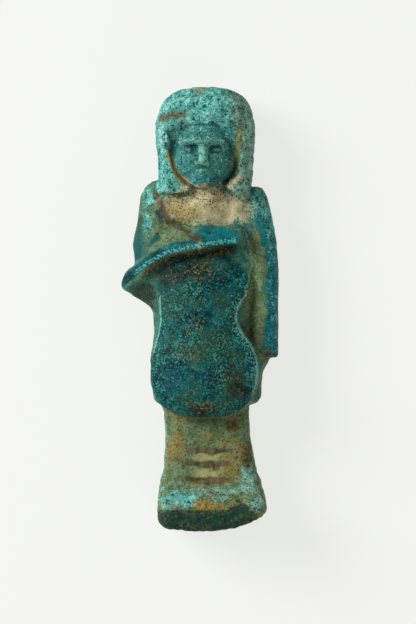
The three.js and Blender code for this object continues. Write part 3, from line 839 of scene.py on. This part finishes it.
here = Term(node("ShaderNodeTexCoord", {}, {}).outputs["Object"])
fine = noise(0.36, 1.0)
speck = noise(0.38, 0.0, 0.5, 17.9)
grit = noise(0.42, 0.0, 0.5, 29.3)
small = noise(0.8, 2.0, 0.6, 3.1)
middling = noise(2.2, 2.0, 0.6, 7.7)
broad = noise(8.0, 2.0, 0.55, 11.3)
dither = (speck - 0.5) * 0.7 + (small - 0.5) * 0.7 + (middling - 0.5) * 0.5
dark_flecks = grit.over(0.58, 0.64)
brown_flecks = grit.over(0.56, 0.64)
light_flecks = (speck * 0.6 + middling * 0.4).over(0.54, 0.64)
mottle = middling.over(0.4, 0.6)
small_mottle = small.over(0.4, 0.6)
mossy_drift = broad + small * 0.4
grit_drift = grit * 0.6 + middling * 0.4


def spread(name, low=0.25, high=0.75, raggedness=1.0):
    """A zone whose border is broken up into grains."""
    return (zone(name) + dither * raggedness).over(low, high)


def dotted(name, dots, contrast):
    """A zone that shows first where a noise is high."""
    return zone(name) + (dots - 0.5) * contrast


# The glaze's own finishes, with some painted light and shade among them, and then the whole figure in
# them from the bottom layer up.
plain = layered(
    colour(38, 92, 82),
    (colour(80, 122, 100), middling.over(0.35, 0.65)),
    (colour(104, 108, 66), broad.over(0.45, 0.65) * 0.6),
    (colour(24, 60, 58), dark_flecks * 0.6),
    (colour(84, 148, 134), light_flecks * 0.45),
)
green = layered(
    colour(82, 100, 64),
    (colour(104, 122, 88), middling.over(0.38, 0.62)),
    (colour(126, 108, 58), broad.over(0.46, 0.62) * 0.7),
    (colour(44, 56, 36), dark_flecks * 0.7),
    (colour(96, 146, 118), light_flecks * 0.5),
)
turquoise_flecks = (speck * 0.5 + small * 0.2 + middling * 0.3).over(0.47, 0.62)
teal = layered(
    colour(1, 38, 42),
    (colour(2, 80, 80), (broad + middling * 0.4).over(0.56, 0.8)),
    (colour(1, 70, 84), spread("blue", 0.0, 1.2) * 0.8),
    (colour(40, 56, 30), mossy_drift.over(0.64, 0.84) * 0.75),
    (colour(40, 46, 24), spread("rust", 0.2, 1.3) * 0.85),
    (colour(2, 26, 26), grit.over(0.48, 0.66) * zone("flecks") * 0.7),
    (colour(4, 112, 120), spread("glow", 0.1, 1.1, 1.2) * 0.65),
    (colour(2, 56, 66), grit_drift.over(0.5, 0.64) * zone("glow") * 0.5),
    (colour(14, 120, 114), turquoise_flecks * zone("flecks") * 0.85),
)
# Dark mud colour that also serves as painted shadow.
mud_and_shadow = layered(
    colour(2, 30, 26),
    (colour(44, 44, 24), middling.over(0.42, 0.66)),
    (colour(12, 26, 24), grit.over(0.55, 0.6) * 0.8),
)
powder = layered(
    colour(54, 138, 132),
    (colour(104, 174, 160), (speck * 0.5 + small * 0.5).over(0.4, 0.6)),
    (colour(96, 130, 96), mossy_drift.over(0.66, 0.84) * 0.7),
    (colour(6, 106, 110), (broad + middling * 0.6 + (speck - 0.5) * 0.5).over(0.76, 0.92) * 0.7),
    (colour(14, 84, 80), spread("visage", 0.3, 1.1) * 0.7),
    # worn edges, with painted highlight on them and on the face's features
    (colour(118, 180, 158), spread("edge", 0.15, 0.85, 0.8) * 0.75),
    (colour(112, 140, 118), spread("moss", 0.2, 1.0) * 0.75),
    # chalky glaze, and painted light on the wig's left side
    (colour(138, 198, 190), spread("chalk_and_lit_side", 0.3, 1.3) * 0.7),
    (colour(4, 100, 112), spread("blue", 0.3, 0.8) * 0.8),
    # painted shade in the hollows
    (colour(8, 66, 70), spread("hollow", 0.2, 0.7) * 0.8),
    (colour(8, 50, 52), dotted("pits", grit, 3.0).over(0.3, 0.7) * 0.85),
    (colour(152, 206, 192), dotted("tops", speck, 2.4).over(0.4, 1.0) * 0.6),
)
sandy = layered(
    colour(152, 144, 104),
    (colour(184, 174, 138), mottle),
    (colour(50, 44, 30), grit.over(0.58, 0.66) * zone("pocked") * 0.85),
)
rusty = layered(
    colour(124, 100, 32),
    (colour(150, 124, 56), small_mottle),
    (colour(74, 70, 32), brown_flecks * 0.6),
)
umber = layered(
    colour(56, 48, 28),
    (colour(96, 82, 54), small_mottle),
    (colour(30, 24, 14), brown_flecks * 0.6),
)
ink = layered(colour(58, 50, 36), (colour(94, 82, 62), mottle))
murky = layered(
    colour(18, 52, 44),
    (colour(74, 80, 46), (small * 0.5 + middling * 0.6).over(0.5, 0.68) * 0.8),
    (colour(4, 28, 32), grit_drift.over(0.5, 0.6) * 0.7),
)
# A painted highlight of bright specks along the forearm's crest, over deep teal.
crest_glint = layered(
    colour(2, 72, 78),
    (colour(66, 166, 162), (fine * 0.4 + speck * 0.3 + small * 0.4).over(0.49, 0.62)),
    (colour(132, 104, 54), (grit + middling * 0.5).over(0.86, 0.92) * 0.25),
)
grain_dots = (fine * 0.6 + small * 0.4).over(0.54, 0.62) * zone("grains").over(0.1, 1.0)
frosted_sheen = dotted("frost_and_sheen", speck, 3.0).over(0.5, 1.0) * zone("frost_and_sheen").over(0.0, 0.4)
body = layered(
    plain,
    (green, spread("olive")),
    (teal, spread("deep", 0.1, 0.9)),
    # painted shadow under the forearm and elbow, with some dirt
    (mud_and_shadow, spread("shade_and_dirt", 0.2, 0.9) * 0.85),
    (powder, spread("pale", 0.15, 0.85)),
    (sandy, spread("cream", 0.3, 0.95)),
    (rusty, spread("ochre", 0.2, 1.2) * 0.85),
    (colour(130, 106, 56), grain_dots * 0.85),
    # brown stains, and painted shadow under the forearm and elbow
    (umber, spread("brown", 0.3, 0.9) * 0.85),
    (colour(160, 152, 100), spread("faded", 0.0, 0.95, 0.8) * 0.8),
    (ink, spread("painted", 0.1, 0.9, 0.5) * 0.85),
    # dark toes, with painted shade
    (murky, spread("dark_and_shaded_toes", 0.1, 0.6) * 0.95),
    # painted highlight along the forearm's crest
    (crest_glint, spread("ridge", 0.4, 0.9) * 0.9),
    # frosted specks and painted sheen by the panel's right edge
    (colour(96, 158, 146), frosted_sheen * 0.7),
    # the panel's worn rim, with painted highlight
    (colour(124, 184, 170), spread("rim", 0.3, 1.2) * 0.75),
    # painted shade in the creases
    (colour(8, 46, 48), dotted("crease", small, 0.4).over(0.25, 0.9) * 0.6),
)

pit_depth = 0.16 * mm
shader = tree.nodes["Principled BSDF"]
shader.inputs["Specular IOR Level"].default_value = 0.06
tree.links.new(body.socket, shader.inputs["Base Color"])
gloss = 0.62 - zone("deep") * 0.16 + (fine - 0.5) * 0.3
tree.links.new(gloss.socket, shader.inputs["Roughness"])
height = fine * 0.6 + small * 0.6 - grit * 0.5
bump = node("ShaderNodeBump", {}, {"Strength": 0.8, "Distance": pit_depth, "Height": height})
tree.links.new(bump.outputs[0], shader.inputs["Normal"])
mesh.materials.append(glaze)

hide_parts("ushabti")
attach(figure, "root")


# The floor, the light and the camera: a pale table seen from straight above, lit softly from
# the left, from a little beyond the figure's head.

floor_half = 1.5
floor_mesh = bpy.data.meshes.new("floor")
corners = [(-1, -1), (1, -1), (1, 1), (-1, 1)]
floor_mesh.from_pydata([(floor_half * x, floor_half * y, 0) for x, y in corners], [], [(0, 1, 2, 3)])
floor = bpy.data.objects.new("floor", floor_mesh)
bpy.context.collection.objects.link(floor)
paper_grey = (0.14, 0.14, 0.139)
paper_glow = (0.985, 0.997, 0.945)
paper_glow_strength = 0.744
paper = bpy.data.materials.new("pale_table")
paper.use_nodes = True
paper_shader = paper.node_tree.nodes["Principled BSDF"]
paper_shader.inputs["Base Color"].default_value = (*paper_grey, 1)
paper_shader.inputs["Emission Color"].default_value = (*paper_glow, 1)
paper_shader.inputs["Emission Strength"].default_value = paper_glow_strength
paper_shader.inputs["Roughness"].default_value = 0.9
paper_shader.inputs["Specular IOR Level"].default_value = 0.1
floor_mesh.materials.append(paper)


def soft_light(name, place, target, size, power):
    data = bpy.data.lights.new(name, "AREA")
    data.shape = "DISK"
    data.size = size
    data.energy = power
    lamp = bpy.data.objects.new(name, data)
    lamp.location = place
    lamp.rotation_euler = (Vector(target) - Vector(place)).to_track_quat("-Z", "Y").to_euler()
    bpy.context.collection.objects.link(lamp)


soft_light("key", place=(-0.82, 0.44, 0.67), target=(0, 0, 0), size=0.7, power=17.4)
soft_light("fill", place=(0.30, -0.50, 0.36), target=(0, -0.03, 0), size=0.5, power=1.3)

world = bpy.data.worlds.new("room")
world.use_nodes = True
room_light = world.node_tree.nodes["Background"]
room_light.inputs["Color"].default_value = (1, 1, 1, 1)
room_light.inputs["Strength"].default_value = 0.36
bpy.context.scene.world = world
bpy.context.scene.view_settings.view_transform = "Standard"

sensor = 36.0
frame_height = 148.2 * mm
frame_plane = 9 * mm
camera_height = 0.7
aim = (1.85 * mm, -1.07 * mm)
camera_data = bpy.data.cameras.new("camera")
camera_data.sensor_width = sensor
camera_data.lens = sensor * (camera_height - frame_plane) / frame_height
camera = bpy.data.objects.new("camera", camera_data)
camera.location = (aim[0], aim[1], camera_height)
bpy.context.collection.objects.link(camera)
bpy.context.scene.camera = camera
